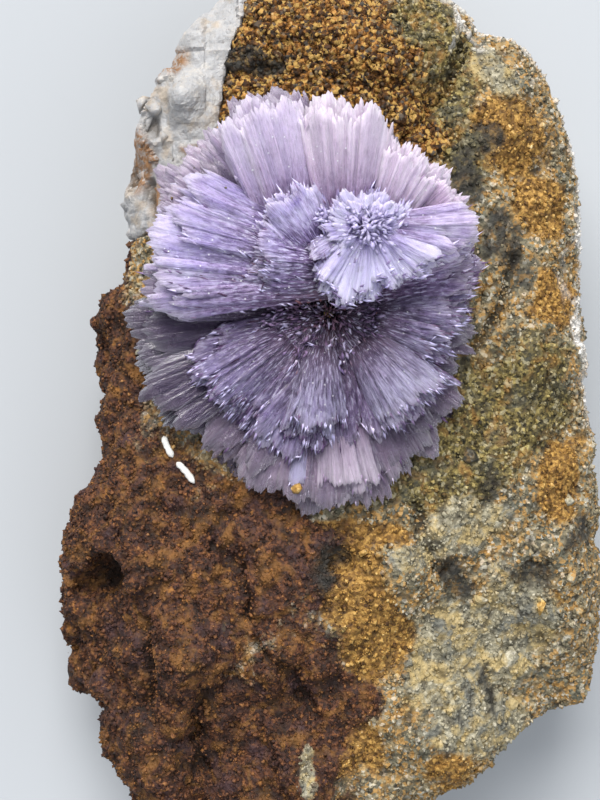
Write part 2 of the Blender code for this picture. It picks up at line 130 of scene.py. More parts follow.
# The frosty tuft on the upper fans: fans that carry it, and short ones in a ring around its top
for way in range(20, 200, 30):
    UPPER_FANS.append((3.2, 7.2, 6, way, 26, 0, 3.6, 24, 6, 1.2, 2.6, 0.8, 3, 0.42, 0.1, 0.5, 0.2))
for way in range(4, 360, 33):
    x, y = 3.4 + 1.5 * np.cos(np.radians(way)), 7.3 + 0.9 * np.sin(np.radians(way))
    rise, length, frost = 16 + 3 * (way % 4), 1.5 + 0.5 * (way % 3), 0.8 + 0.3 * (way % 2)
    UPPER_FANS.append((x, y, 8, way, rise, 0, length, 30, 4, 1, 2.4, 0.6, 3, 0.4, 0.05, frost, 0.2))
# The rosette's tiers: name, fans, how clear the crystal is, how bright its colour is kept (below 1 partly its
# own darker colour, partly painted shade under the other tiers and between the fine crystals), how soft it
# is, how many fine crystals lie on it, how few of them its pink and outer parts carry, and how much paler its
# frosty fans are
TIERS = [
    ("outer_blades", OUTER_FANS, 0.6, 0.5, 0, 1800, 0.7, 0),
    ("middle_blades", MIDDLE_FANS, 0.4, 0.66, 0.2, 9000, 0, 0),
    ("upper_blades", UPPER_FANS, 0.25, 0.95, 0.35, 6000, 0.8, 0.3),
]
# Beds of small crystals: x, y and z from the hub, radius, count, share of white ones (frost on the pale beds,
# painted glints in the dark ones), and how much each bed rises from its middle to its rim. The beds that fall
# are pale.
CRYSTAL_BEDS = [
    (0, 0, 2, 6.4, 1100, 0.1, 0.26), (-2.7, 9.4, 5.4, 1.9, 150, 0.1, 0.2),
    (2.6, 11.6, 6.2, 1.4, 90, 0, 0.2), (4.6, 11.8, 6, 1.5, 90, 0, 0.2),
    (9.4, 9.6, 5.6, 1.6, 80, 0.1, 0.2), (-10.2, 9.2, 4.6, 1.3, 60, 0.1, 0.2),
    (3.4, 7.5, 9.8, 2.2, 150, 0.8, -0.4), (0.4, 8, 7.9, 1.6, 80, 0.5, -0.2),
    (6.4, 8, 8.4, 1.6, 80, 0.5, -0.2), (-3.6, 6.4, 5.6, 2.6, 160, 0.4, -0.2),
    (-6.8, 5.4, 5.6, 2.2, 110, 0.4, -0.2),
]
# Specks on the rosette: x, y, size and zone
SPECKS = [(-3.5, -5.9, 1.2, "ochre"), (-15.6, 22.3, 0.4, "dark"), (-10.3, 23.1, 0.3, "dark"),
          (-13.4, 25.2, 0.25, "dark")]

# Zones of the rock's face, each a list of blobs: x, y, half width and half length
ZONES = {
    "golden": [(-5.5, 37, 6, 9), (-7.5, 32, 4.5, 7), (2, 37.5, 6, 8), (6, 31, 5, 6)],
    "olive": [(10.5, 37, 5, 7), (13, 29.5, 4, 5), (-3.4, 36.3, 1, 0.9), (-2.8, 33.4, 1, 1.2),
              (15.5, 0.5, 5, 8), (21, 3, 4, 6), (10, -4.5, 6, 3.5), (1, -20.5, 1.6, 2.2)],
    "rusty": [(-21, -20, 13.5, 22), (-14, -36, 12, 14), (-9, -13, 10, 9), (-24, 5, 6, 12), (-3, -30, 6, 12),
              (-21.5, 22, 2, 6), (2, -27.5, 4, 3.2)],
    "ochre": [(18.5, 30, 4, 5), (21.5, 22.5, 3, 4), (22, 13, 3, 3), (2.6, -15.5, 4, 4), (4.5, -21, 3.5, 5),
              (2.5, -10.5, 5, 1.6), (2, -33.5, 4, 2.6), (12.5, -35, 3, 2), (-16, -3, 2, 3),
              (24, -5, 2.4, 4), (-22.5, -7, 3, 3), (22.5, -17.5, 1.6, 1.4)],
    "pale": [(12.5, -24, 5, 6), (18.5, -21, 5, 7), (15, -31, 6, 4), (14.5, -9.5, 5, 2.6),
             (-2.2, -35, 1.1, 1.9), (16, 36.5, 3, 2), (9, -12.5, 3, 2)],
    # The dark zone is partly dark rock, partly painted shade: several of its blobs sit on the pits in DENTS.
    "dark": [(0.4, -13.2, 1.7, 1.5), (12.6, -15.6, 1.5, 2.6), (21.2, -14.8, 2, 1.5), (25.5, -11, 1.4, 2.2),
             (13.2, 25.5, 2, 3), (16.5, 20, 1.6, 1.8), (19, 17.5, 1.4, 2), (-23.2, -15.4, 1.9, 2.2),
             (16.5, -6, 1.6, 1.2), (-8, 37, 2.6, 1), (16.2, -27.5, 0.9, 2), (15.2, 29, 0.8, 1.6)],
}
# Pits and cracks of the face, each with its depth, and the stones and needles that stand out of it
DENTS = [(-23.2, -15.4, 2.1, 2.3, 2.6), (0.4, -13.2, 1.8, 1.6, 0.8), (21.2, -14.8, 1.9, 1.5, 0.8),
         (12.6, -15.6, 1.4, 2.6, 0.7), (-7, 36, 2.6, 1, 0.7), (3, 34, 3, 0.7, 0.6),
         (19, 17.5, 1.4, 2, 0.6), (-24.5, -30, 1.5, 1, 0.8)]
CREASES = [((13.6, 39), (12.8, 37), (11.4, 34), (9.4, 31), (6.8, 28.4)),
           ((-13.2, -27), (-13.8, -31), (-13.4, -36.5)), ((-19, -19), (-18.2, -24), (-19.4, -29)),
           ((-7.5, -22), (-4.5, -24.5), (-1.5, -29)), ((-12.5, -10.5), (-9, -15), (-8.4, -19)),
           ((8.5, -7.5), (9.5, -12), (11.5, -15)), ((14.5, 8), (17.5, 12.5), (19, 17.5))]
STONES = [(15.5, -17.5, 1.9, 2.4, "pale"), (18.8, -24.3, 2.4, 3, "pale"), (19.2, -29.3, 2.4, 2.6, "pale"),
          (21.6, -18.6, 2.4, 2.2, "ochre"), (13.8, -2.8, 2.6, 1.8, "dark"), (9.8, 0.8, 1.4, 1.5, "olive"),
          (-19.7, 7.6, 0.8, 1, "pale"), (24.5, -7.5, 1.6, 1.3, "pale"), (10.8, 30.5, 1.4, 1.8, "olive")]
CREASE_DEPTH = 1.1
CREASE_WIDTH = 0.75
NEEDLE_RADIUS = 0.34
NEEDLES = [((-17, -0.9), (-16.6, -1.9), (-16, -3)), ((-15.6, -3.5), (-14.7, -4.4), (-13.8, -5.6))]
ROCK_VOXEL = 0.46
QUARTZ_VOXEL = 0.34
KNOB_COUNT = 120
QUARTZ_ZONES = {
    "tan": [(-17.4, 38.3, 1.4, 1.8), (-19.6, 27, 1.5, 3.6), (-17, 21, 1.6, 3), (-13.4, 28.6, 1.4, 1)],
    "hollow": [(-17.4, 30.2, 0.8, 1.4), (-20.6, 26, 0.8, 1.6), (-18.4, 22.5, 0.7, 2), (-19, 35, 0.8, 0.7)],
}


def eased(t):
    """Eases from 0 to 1 as t goes from 0 to 1."""
    t = np.clip(t, 0, 1)
    return t * t * (3 - 2 * t)


def new_object(name, mesh, material=None):
    """A piece of the specimen with this mesh and material."""
    made = bpy.data.objects.new(name, mesh)
    scene.collection.objects.link(made)
    if material:
        mesh.materials.clear()
        mesh.materials.append(material)
    return made


def mesh_from_arrays(name, points, triangles, values=None):
    """A mesh from an array of points in millimetres, an array of triangles and named values per point."""
    mesh = bpy.data.meshes.new(name)
    mesh.vertices.add(len(points))
    mesh.vertices.foreach_set("co", (np.asarray(points) * MM).astype(np.float32).ravel())
    mesh.loops.add(3 * len(triangles))
    mesh.loops.foreach_set("vertex_index", np.asarray(triangles, dtype=np.int32).ravel())
    mesh.polygons.add(len(triangles))
    mesh.polygons.foreach_set("loop_start", np.arange(0, 3 * len(triangles), 3, dtype=np.int32))
    mesh.update(calc_edges=True)
    for key, numbers in (values or {}).items():
        set_values(mesh, key, numbers)
    mesh.validate()
    return mesh


def set_values(mesh, key, numbers):
    """Stores a number or a vector for each point of the mesh under this name."""
    numbers = np.asarray(numbers, dtype=np.float32)
    kind = "FLOAT" if numbers.ndim == 1 else "FLOAT_VECTOR"
    attribute = mesh.attributes.new(key, kind, "POINT")
    attribute.data.foreach_set("value" if numbers.ndim == 1 else "vector", numbers.ravel())


def vectors_of(mesh, what):
    """The co or the normal of each of the mesh's points."""
    found = np.empty(3 * len(mesh.vertices), dtype=np.float32)
    mesh.vertices.foreach_get(what, found)
    return found.reshape(-1, 3).astype(float)


def points_of(mesh):
    """The mesh's points in millimetres."""
    return vectors_of(mesh, "co") / MM


def each_point(points, measure):
    """An array of what measure says at each point."""
    return np.array([measure(Vector(p)) for p in points])


def joined_copies(name, base_points, base_triangles, centres, turns, sizes, values):
    """One mesh of many copies of a small shape, each with its own place, turn and size along x, y and z."""
    shaped = base_points[None, :, :] * sizes[:, None, :]
    placed = np.einsum("nij,nkj->nki", turns, shaped) + centres[:, None, :]
    offsets = len(base_points) * np.arange(len(centres))
    triangles = base_triangles[None, :, :] + offsets[:, None, None]
    spread = {key: np.repeat(numbers, len(base_points), axis=0) for key, numbers in values.items()}
    return mesh_from_arrays(name, placed.reshape(-1, 3), triangles.reshape(-1, 3), spread)


def unit(rows):
    """Each row at length 1."""
    return rows / np.linalg.norm(rows, axis=1)[:, None]


def random_turns(count, draw):
    """Random turns as an array of matrices."""
    w, x, y, z = unit(draw.normal(size=(count, 4))).T
    rows = [
        [1 - 2 * (y * y + z * z), 2 * (x * y - z * w), 2 * (x * z + y * w)],
        [2 * (x * y + z * w), 1 - 2 * (x * x + z * z), 2 * (y * z - x * w)],
        [2 * (x * z - y * w), 2 * (y * z + x * w), 1 - 2 * (x * x + y * y)],
    ]
    return np.array(rows).transpose(2, 0, 1)


class Finish:
    """A material, with short ways to add and link its nodes."""

    def __init__(self, name):
        self.material = bpy.data.materials.new(name)
        self.material.use_nodes = True
        self.tree = self.material.node_tree
        self.shader = self.tree.nodes["Principled BSDF"]

    def link(self, value, socket):
        """Sets a socket to a number, or links it to another socket."""
        if isinstance(value, bpy.types.NodeSocket):
            self.tree.links.new(value, socket)
        elif hasattr(value, "__len__") and len(value) == 3 and len(socket.default_value) == 4:
            socket.default_value = (*value, 1)
        else:
            socket.default_value = value

    def add(self, kind, inputs=(), **settings):
        """A node with these settings and inputs."""
        made = self.tree.nodes.new("ShaderNode" + kind)
        for key, value in settings.items():
            setattr(made, key, value)
        for key, value in dict(inputs).items():
            self.link(value, made.inputs[key])
        return made

    def set(self, **inputs):
        """Sets the shader's own inputs, with underscores for spaces."""
        for key, value in inputs.items():
            self.link(value, self.shader.inputs[key.replace("_", " ")])

    def place(self):
        """The point's place in millimetres."""
        where = self.add("TexCoord").outputs["Object"]
        return self.add("Mapping", {"Vector": where, "Scale": [1 / MM] * 3}).outputs[0]

    def value(self, key, part="Fac"):
        """A value stored in the mesh."""
        return self.add("Attribute", attribute_name=key).outputs[part]

    def noise(self, vector, scale, detail=3, roughness=0.55, distortion=0):
        """Cloudy noise from 0 to 1."""
        inputs = {"Vector": vector, "Scale": scale, "Detail": detail, "Roughness": roughness,
                  "Distortion": distortion}
        return self.add("TexNoise", inputs).outputs["Fac"]

    def cells(self, vector, scale, part="Distance"):
        """Distance to the nearest of scattered points, or its random colour."""
        return self.add("TexVoronoi", {"Vector": vector, "Scale": scale}).outputs[part]

    def math(self, operation, a, b, clamp):
        """One operation on two numbers."""
        made = self.add("Math", operation=operation, use_clamp=clamp)
        self.link(a, made.inputs[0])
        self.link(b, made.inputs[1])
        return made.outputs[0]

    def plus(self, a, b, clamp=False):
        """The sum of two numbers."""
        return self.math("ADD", a, b, clamp)

    def times(self, a, b, clamp=False):
        """The product of two numbers."""
        return self.math("MULTIPLY", a, b, clamp)

    def spread(self, value, low, high, to_low=0, to_high=1):
        """Maps low to high onto another range, kept inside it."""
        inputs = {"Value": value, "From Min": low, "From Max": high, "To Min": to_low, "To Max": to_high}
        return self.add("MapRange", inputs).outputs[0]

    def mix(self, share, a, b, blend="MIX"):
        """Mixes two colours."""
        made = self.add("Mix", data_type="RGBA", blend_type=blend)
        self.link(share, made.inputs[0])
        self.link(a, made.inputs[6])
        self.link(b, made.inputs[7])
        return made.outputs[2]

    def ramp(self, value, stops):
        """A colour ramp through these places and colours."""
        made = self.add("ValToRGB", {"Fac": value})
        elements = made.color_ramp.elements
        while len(elements) < len(stops):
            elements.new(0.5)
        for element, (place, colour) in zip(elements, stops):
            element.position = place
            element.color = (*colour, 1)
        return made.outputs[0]

    def stained(self, value, stops, stains):
        """A colour ramp with stains on it, each with its pattern, low, high, greatest share and colour."""
        colour = self.ramp(value, stops)
        for pattern, low, high, share, stain in stains:
            colour = self.mix(self.spread(pattern, low, high, 0, share), colour, stain)
        return colour

    def bump(self, height, distance, strength):
        """A bump of this height, with its distance in metres."""
        return self.add("Bump", {"Height": height, "Distance": distance, "Strength": strength}).outputs[0]


# Materials


def creedite_finish(name, clear, brightness_and_shade, soft=0):
    """Glassy lilac crystal: dark violet by the hub, pale and frosted at the tips, with fine lines, painted
    glints and highlight dashes, and painted shade on the dark clear fans and the lower tiers.
    """
    f = Finish(name)
    out, tone, pink, frost, edge = (f.value(key) for key in ("outward", "tone", "pink", "frost", "edge"))
    grain = f.value("grain", "Vector")
    p = f.place()
    lines = f.noise(grain, 2.8, 4, 0.65)
    dashes = f.noise(f.add("Mapping", {"Vector": grain, "Scale": (0.8, 2.6, 1)}).outputs[0], 1.7, 2, 0.6)
    veils = f.noise(p, 0.45, 3, 0.6)
    wispy = f.noise(grain, 0.8, 3, 0.65, 0.4)
    blue = f.ramp(out, [(0, (0.2, 0.09, 0.09)), (0.22, (0.15, 0.085, 0.13)), (0.5, (0.25, 0.18, 0.38)),
                        (0.8, (0.42, 0.355, 0.71)), (1, (0.57, 0.5, 0.87))])
    rose = f.ramp(out, [(0, (0.24, 0.09, 0.08)), (0.22, (0.22, 0.105, 0.13)), (0.5, (0.38, 0.25, 0.42)),
                        (0.8, (0.6, 0.445, 0.63)), (1, (0.76, 0.61, 0.77))])
    body = f.mix(f.plus(pink, f.times(f.plus(tone, -0.5), 0.3), True), blue, rose)
    # Painted shade: frost below 0 turns a fan near black, partly its own dark, partly shade from fans above.
    smoke_and_shade = f.spread(frost, -0.6, 0, 0.9, 0)
    body = f.mix(smoke_and_shade, body, (0.068, 0.034, 0.105))
    body = f.mix(f.spread(lines, 0.36, 0.52, 0.45, 0), body, (0.09, 0.06, 0.15))
    haze = f.spread(f.plus(veils, f.times(frost, 0.4)), 0.55, 0.95)
    white = f.times(haze, f.spread(edge, 0.3, 0.85), True)
    white = f.times(white, f.spread(wispy, 0.3, 0.6, 0.4, 1))
    body = f.mix(f.times(white, 0.85), body, f.mix(pink, (0.75, 0.72, 0.98), (0.89, 0.77, 0.93)))
    body = f.mix(f.spread(edge, 0.9, 1, 0, 0.35), body, (0.84, 0.74, 0.86))
    inner = f.times(f.spread(out, 0.5, 0.85, 1, 0.25), f.spread(pink, 0, 1, 1, 0.6))
    inner = f.times(inner, f.spread(frost, -0.5, -0.3, 0.1, 1))
    inner = f.times(inner, f.spread(frost, 0.6, 1.4, 1, 0.6))
    mottle = f.spread(f.noise(p, 0.8, 3, 0.6), 0.52, 0.4, 0, 0.6)
    body = f.mix(f.times(mottle, inner), body, (0.1, 0.068, 0.15))
    body = f.mix(f.times(f.spread(dashes, 0.36, 0.48, 0.95, 0), inner), body, (0.04, 0.025, 0.07))
    # Painted highlights: pale blue-white dashes on the inner parts.
    body = f.mix(f.times(f.spread(dashes, 0.55, 0.64, 0, 0.9), inner), body, (0.74, 0.7, 0.96))
    # Painted glints: white specks scattered over the crystal, left off the dark fans.
    painted_glint = f.add("SeparateColor", {"Color": f.cells(p, 2.6, "Color")}).outputs[0]
    painted_glint = f.times(f.spread(painted_glint, 0.94, 0.95), f.spread(f.cells(p, 2.6), 0.3, 0.18))
    painted_glint = f.times(painted_glint, f.spread(smoke_and_shade, 0, 0.5, 1, 0))
    body = f.mix(painted_glint, body, (0.95, 0.94, 1))
    # Each blade's random tone, scaled by the brightness that is partly painted shade on the lower tiers.
    shade = f.spread(tone, 0, 1, 0.82 * brightness_and_shade, 1.1 * brightness_and_shade)
    grey = f.add("CombineColor", {"Red": shade, "Green": shade, "Blue": shade}).outputs[0]
    body = f.mix(1, body, grey, "MULTIPLY")
    rough = f.spread(f.plus(veils, f.times(frost, 0.25)), 0.35, 0.9, 0.2, 0.55)
    ridges = f.bump(f.plus(lines, f.times(dashes, 0.9)), 0.00018, 0.7)
    f.set(Subsurface_Weight=soft, Subsurface_Radius=(1, 0.8, 1.1), Subsurface_Scale=0.0007)
    f.set(Base_Color=body, Roughness=rough, Normal=ridges, IOR=1.478, Transmission_Weight=clear)
    f.set(Specular_IOR_Level=0.2, Specular_Tint=(0.88, 0.76, 1))
    return f.material


def rock_finish():
    """Iron-stained rock: golden druse, rust, ochre, grey-green and pale granular zones, with painted shade in
    its gaps and creases.
    """
    f = Finish("rusty_rock")
    p = f.place()
    fine = f.noise(p, 2.4, 4, 0.7)
    coarse = f.noise(p, 0.32, 4, 0.6)
    middle = f.noise(p, 0.9, 4, 0.65)
    speck, stain, milky = f.add("SeparateColor", {"Color": f.cells(p, 2.7, "Color")}).outputs
    own = f.times(f.plus(f.value("tone"), -0.5), 0.38)
    mixed = f.plus(f.times(fine, 0.6), f.plus(f.times(speck, 0.25), own))
    patchy = f.noise(p, 0.5, 3, 0.6, 0.6)
    colour = f.stained(mixed, [
        (0.2, (0.04, 0.036, 0.026)), (0.38, (0.17, 0.145, 0.09)), (0.5, (0.33, 0.28, 0.175)),
        (0.62, (0.48, 0.41, 0.27)), (0.75, (0.68, 0.63, 0.5))], [
        (coarse, 0.5, 0.62, 0.65, (0.11, 0.115, 0.085)), (patchy, 0.5, 0.66, 0.65, (0.43, 0.27, 0.1)),
        (stain, 0.66, 0.7, 0.65, (0.5, 0.27, 0.07)), (milky, 0.86, 0.9, 0.5, (0.7, 0.66, 0.55))])
    olive = f.stained(mixed, [
        (0.22, (0.02, 0.018, 0.01)), (0.4, (0.13, 0.1, 0.035)), (0.52, (0.29, 0.225, 0.075)),
        (0.64, (0.46, 0.37, 0.14)), (0.78, (0.62, 0.55, 0.32))], [
        (patchy, 0.52, 0.66, 0.6, (0.34, 0.17, 0.04)), (coarse, 0.5, 0.64, 0.7, (0.075, 0.075, 0.055)),
        (milky, 0.84, 0.88, 0.4, (0.6, 0.53, 0.33))])
    golden = f.stained(mixed, [
        (0.22, (0.012, 0.005, 0.001)), (0.4, (0.085, 0.034, 0.007)), (0.53, (0.28, 0.12, 0.022)),
        (0.66, (0.48, 0.24, 0.06)), (0.8, (0.66, 0.48, 0.24))], [
        (patchy, 0.56, 0.68, 0.5, (0.06, 0.022, 0.006)), (stain, 0.7, 0.74, 0.7, (0.58, 0.36, 0.1)),
        (milky, 0.86, 0.89, 0.6, (0.1, 0.095, 0.08))])
    rusty = f.stained(mixed, [
        (0.2, (0.014, 0.007, 0.005)), (0.4, (0.055, 0.022, 0.013)), (0.52, (0.135, 0.052, 0.022)),
        (0.66, (0.28, 0.12, 0.04)), (0.8, (0.5, 0.27, 0.11))], [
        (patchy, 0.5, 0.64, 0.7, (0.23, 0.105, 0.026)), (coarse, 0.54, 0.66, 0.75, (0.055, 0.028, 0.03)),
        (middle, 0.6, 0.7, 0.7, (0.4, 0.17, 0.035))])
    ochre = f.ramp(mixed, [
        (0.2, (0.06, 0.027, 0.008)), (0.4, (0.26, 0.135, 0.03)), (0.54, (0.5, 0.29, 0.075)),
        (0.68, (0.66, 0.45, 0.17)), (0.8, (0.74, 0.6, 0.36))])
    pale = f.stained(mixed, [
        (0.2, (0.1, 0.09, 0.06)), (0.42, (0.31, 0.28, 0.19)), (0.58, (0.5, 0.46, 0.34)),
        (0.76, (0.72, 0.67, 0.55))], [
        (coarse, 0.48, 0.62, 0.75, (0.15, 0.155, 0.14)), (patchy, 0.46, 0.62, 0.75, (0.5, 0.37, 0.15))])
    zones = {"olive": olive, "ochre": ochre, "golden": golden, "rusty": rusty, "pale": pale}
    for key, zone in zones.items():
        mottle = f.times(f.plus(f.noise(p, 0.8, 4, 0.7), -0.5), 1.6)
        colour = f.mix(f.spread(f.plus(f.value(key), mottle), 0.3, 0.75), colour, zone)
    # The dark zone: dark rock, and painted shade in the pits.
    dark_rock_and_pit_shade = f.times(f.value("dark"), f.spread(middle, 0.35, 0.55, 0.5, 0.95))
    colour = f.mix(dark_rock_and_pit_shade, colour, (0.03, 0.029, 0.025))
    # Painted shade: near black in the gaps between lumps and grains, and in the creases.
    colour = f.mix(f.spread(f.value("hollow"), 0, 1, 0, 0.8), colour, (0.012, 0.007, 0.004))
    # Paler on the sideways faces along the right and top edges.
    pale_rim = f.times(f.value("rim"), f.spread(middle, 0.3, 0.5, 0.3, 1))
    colour = f.mix(pale_rim, colour, (0.74, 0.71, 0.66))
    height = f.plus(f.times(fine, 0.6), f.times(f.cells(p, 2.2), 0.6))
    f.set(Base_Color=colour, Roughness=f.spread(fine, 0.3, 0.8, 0.55, 0.9), Specular_IOR_Level=0.3)
    f.set(Normal=f.bump(height, 0.00035, 0.9))
    return f.material


def quartz_finish():
    """White to bluish quartz with tan stains and dark hollows."""
    f = Finish("white_quartz")
    p = f.place()
    cloud = f.noise(p, 0.4, 4, 0.6)
    fine = f.noise(p, 1.8, 4, 0.7)
    veined = f.noise(p, 0.7, 5, 0.7)
    colour = f.ramp(veined, [(0.3, (0.3, 0.295, 0.29)), (0.45, (0.36, 0.36, 0.365)),
                             (0.56, (0.39, 0.38, 0.37)), (0.68, (0.5, 0.47, 0.43))])
    colour = f.mix(f.spread(cloud, 0.54, 0.66, 0, 0.5), colour, (0.38, 0.28, 0.17))
    stained = f.times(f.value("tan"), f.spread(fine, 0.36, 0.52), True)
    colour = f.mix(stained, colour, (0.24, 0.12, 0.045))
    colour = f.mix(f.spread(fine, 0.28, 0.4, 0.6, 0), colour, (0.12, 0.1, 0.08))
    colour = f.mix(f.times(f.value("hollow"), 0.75), colour, (0.07, 0.05, 0.03))
    f.set(Base_Color=colour, Roughness=f.spread(fine, 0.3, 0.7, 0.2, 0.55), IOR=1.54)
    f.set(Normal=f.bump(fine, 0.0003, 0.7))
    f.set(Subsurface_Weight=0.3, Subsurface_Radius=(0.6, 0.5, 0.45), Subsurface_Scale=0.001)
    return f.material


# Rock and quartz


def dense_copy(node, voxel):
    """A finer mesh of a node's shape, in even faces."""
    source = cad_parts[node]
    copy = new_object("dense", source.data.copy())
    copy.matrix_world = source.matrix_world
    remesh = copy.modifiers.new("even faces", "REMESH")
    remesh.mode = "VOXEL"
    remesh.voxel_size = voxel * MM
    seen = copy.evaluated_get(bpy.context.evaluated_depsgraph_get())
    mesh = bpy.data.meshes.new_from_object(seen)
    bpy.data.objects.remove(copy)
    return mesh


def move_out(mesh, amounts, keep_below=0.4):
    """Moves each point along its normal, less and less towards the flat base."""
    points, normals = points_of(mesh), vectors_of(mesh, "normal")
    share = eased((points[:, 2] - keep_below) / 1.2)
    points = points + normals * (amounts * share)[:, None]
    points[:, 2] = np.maximum(points[:, 2], 0)
    mesh.vertices.foreach_set("co", (points * MM).astype(np.float32).ravel())
    mesh.update()


def zone_masks(points, zones):
    """How strongly each zone shows at each point."""
    warp = np.array([noise.noise_vector(Vector(p) / 4) for p in points]) * 2.2
    x, y = points[:, 0] + warp[:, 0], points[:, 1] + warp[:, 1]
    masks = {}
    for key, blobs in zones.items():
        mask = np.zeros(len(points))
        for bx, by, rx, ry in blobs:
            mask = np.maximum(mask, eased((1.35 - np.hypot((x - bx) / rx, (y - by) / ry)) / 0.7))
        masks[key] = mask
    return masks


def line_distance(x, y, line):
    """How far each place is from a line through these points."""
    found = np.full(len(x), np.inf)
    for (x0, y0), (x1, y1) in zip(line[:-1], line[1:]):
        dx, dy = x1 - x0, y1 - y0
        share = np.clip(((x - x0) * dx + (y - y0) * dy) / (dx * dx + dy * dy), 0, 1)
        found = np.minimum(found, np.hypot(x - x0 - share * dx, y - y0 - share * dy))
    return found


def cell_bumps(points, size):
    """Rounded lumps of about this size, 1 at the top of each and 0 between them."""
    return 1 - np.clip(each_point(points, lambda p: noise.voronoi(p / size)[0][0]) / 0.75, 0, 1) ** 2


def build_rock():
    """The iron-stained rock with its lumps, pits and granular relief."""
    mesh = dense_copy("matrix_rock", ROCK_VOXEL)
    points, normals = points_of(mesh), vectors_of(mesh, "normal")
    x, y, z = points.T
    masks = zone_masks(points, ZONES)
    broad = each_point(points, lambda p: noise.fractal(p / 3.4, 0.9, 2.1, 4))
    fine = each_point(points, lambda p: noise.noise(p / 0.7))
    lumps = cell_bumps(points, 1.7)
    grains = cell_bumps(points, 0.85)
    blocks = cell_bumps(points, 1)
    rusty, golden = masks["rusty"], masks["golden"]
    amounts = 0.16 + (0.4 + 0.25 * rusty) * broad + 0.1 * fine
    amounts += rusty * (0.6 * (lumps - 0.5) + 0.2 * (grains - 0.5))
    amounts += golden * 0.5 * (blocks - 0.5) + (1 - rusty) * 0.25 * (grains - 0.5)
    front = eased((z - 10) / 4)
    for dx, dy, rx, ry, depth in DENTS:
        amounts -= depth * front * eased((1.3 - np.hypot((x - dx) / rx, (y - dy) / ry)) / 0.8)
    bent = 0.7 * each_point(points, lambda p: noise.noise(p / 1.6))
    crease = sum(eased(1.2 - line_distance(x + bent, y + bent, line) / CREASE_WIDTH) for line in CREASES)
    crease = np.clip(crease, 0, 1) * front
    amounts -= CREASE_DEPTH * crease
    under = np.hypot((x + 1.7) / 15.5, (y - 12.5) / 17.5)
    clear = np.where(z > 15, eased((under - 0.75) / 0.3), 1)
    amounts = amounts * clear
    # Painted shade goes where the surface dips: the gaps between lumps and grains, and the creases.
    gaps = rusty * lumps + golden * blocks
    gaps = gaps + (1 - rusty - golden) * grains
    hollow = np.clip(np.clip(0.5 - gaps, 0, 1) * 1.7 + 0.9 * crease, 0, 1) * clear
    right_edge = eased((x - 12) / 4) * eased((y + 2) / 6)
    high_edge = eased((y - 36) / 3) * eased((x - 6) / 3)
    rim = np.maximum(right_edge, high_edge) * eased((0.65 - normals[:, 2]) / 0.3) * eased((z - 14) / 3)
    move_out(mesh, amounts)
    masks["rim"] = np.clip(rim * (0.8 + broad), 0, 1)
    for key, numbers in {**masks, "hollow": hollow}.items():
        set_values(mesh, key, numbers)
    set_values(mesh, "tone", np.full(len(points), 0.42))
    rock = new_object("rock_surface", mesh, rock_finish())
    mesh.shade_smooth()
    dress(rock, "matrix_rock")
    return rock, masks


def stones_mesh(name, rows, draw, values):
    """One mesh of angular stones, from rows of centre and size, with values for each stone."""
    all_points, all_triangles, spread, total = [], [], {key: [] for key in values}, 0
    for i, (centre, size) in enumerate(rows):
        stone_points, stone_triangles = rough_stone(draw)
        turned = stone_points * draw.uniform(0.85, 1.1, 3) @ random_turns(1, draw)[0].T
        all_points.append(turned * np.array(size) + np.array(centre))
        all_triangles.append(stone_triangles + total)
        total += len(stone_points)
        for key, numbers in values.items():
            spread[key].append(np.full(len(stone_points), numbers[i]))
    spread = {key: np.concatenate(numbers) for key, numbers in spread.items()}
    return mesh_from_arrays(name, np.vstack(all_points), np.vstack(all_triangles), spread)


def height_at(points, x, y):
    """Height of the surface near a place on the face."""
    near = np.argsort(np.hypot(points[:, 0] - x, points[:, 1] - y) - 0.2 * points[:, 2])[:5]
    return points[near, 2].mean()


def rods_mesh(name, lines, radius, draw, rings=12, sides=9):
    """One mesh of rough rods with rounded ends along lines of three points."""
    all_points, all_triangles = [], []
    angles = np.linspace(0, 2 * math.pi, sides, endpoint=False)
    index = np.arange(rings * sides).reshape(rings, sides)
    a, b = index[:-1], index[1:]
    sleeve = np.stack([a, np.roll(a, -1, axis=1), np.roll(b, -1, axis=1), b], axis=2).reshape(-1, 4)
    for number, line in enumerate(lines):
        start, middle, end = (np.array(point) for point in line)
        t = np.linspace(0, 1, rings)[:, None]
        centres = (1 - t) * (1 - 2 * t) * start + 4 * t * (1 - t) * middle + t * (2 * t - 1) * end
        way = (end - start) / np.linalg.norm(end - start)
        side = np.cross(way, (0, 0, 1))
        side /= np.linalg.norm(side)
        girth = radius * np.maximum(0.03, 1 - (2 * t - 1) ** 6) ** 0.5
        girth = girth * draw.uniform(0.85, 1.2, (rings, sides))
        ring = np.cos(angles)[None, :, None] * side + np.sin(angles)[None, :, None] * np.cross(side, way)
        all_points.append((centres[:, None, :] + girth[:, :, None] * ring).reshape(-1, 3))
        fans = [(0, i + 1, i) for i in range(1, sides - 1)]
        fans += [(index[-1, 0], index[-1, i], index[-1, i + 1]) for i in range(1, sides - 1)]
        triangles = np.concatenate([sleeve[:, [0, 1, 2]], sleeve[:, [0, 2, 3]], np.array(fans)])
        all_triangles.append(triangles + number * rings * sides)
    return mesh_from_arrays(name, np.vstack(all_points), np.vstack(all_triangles))


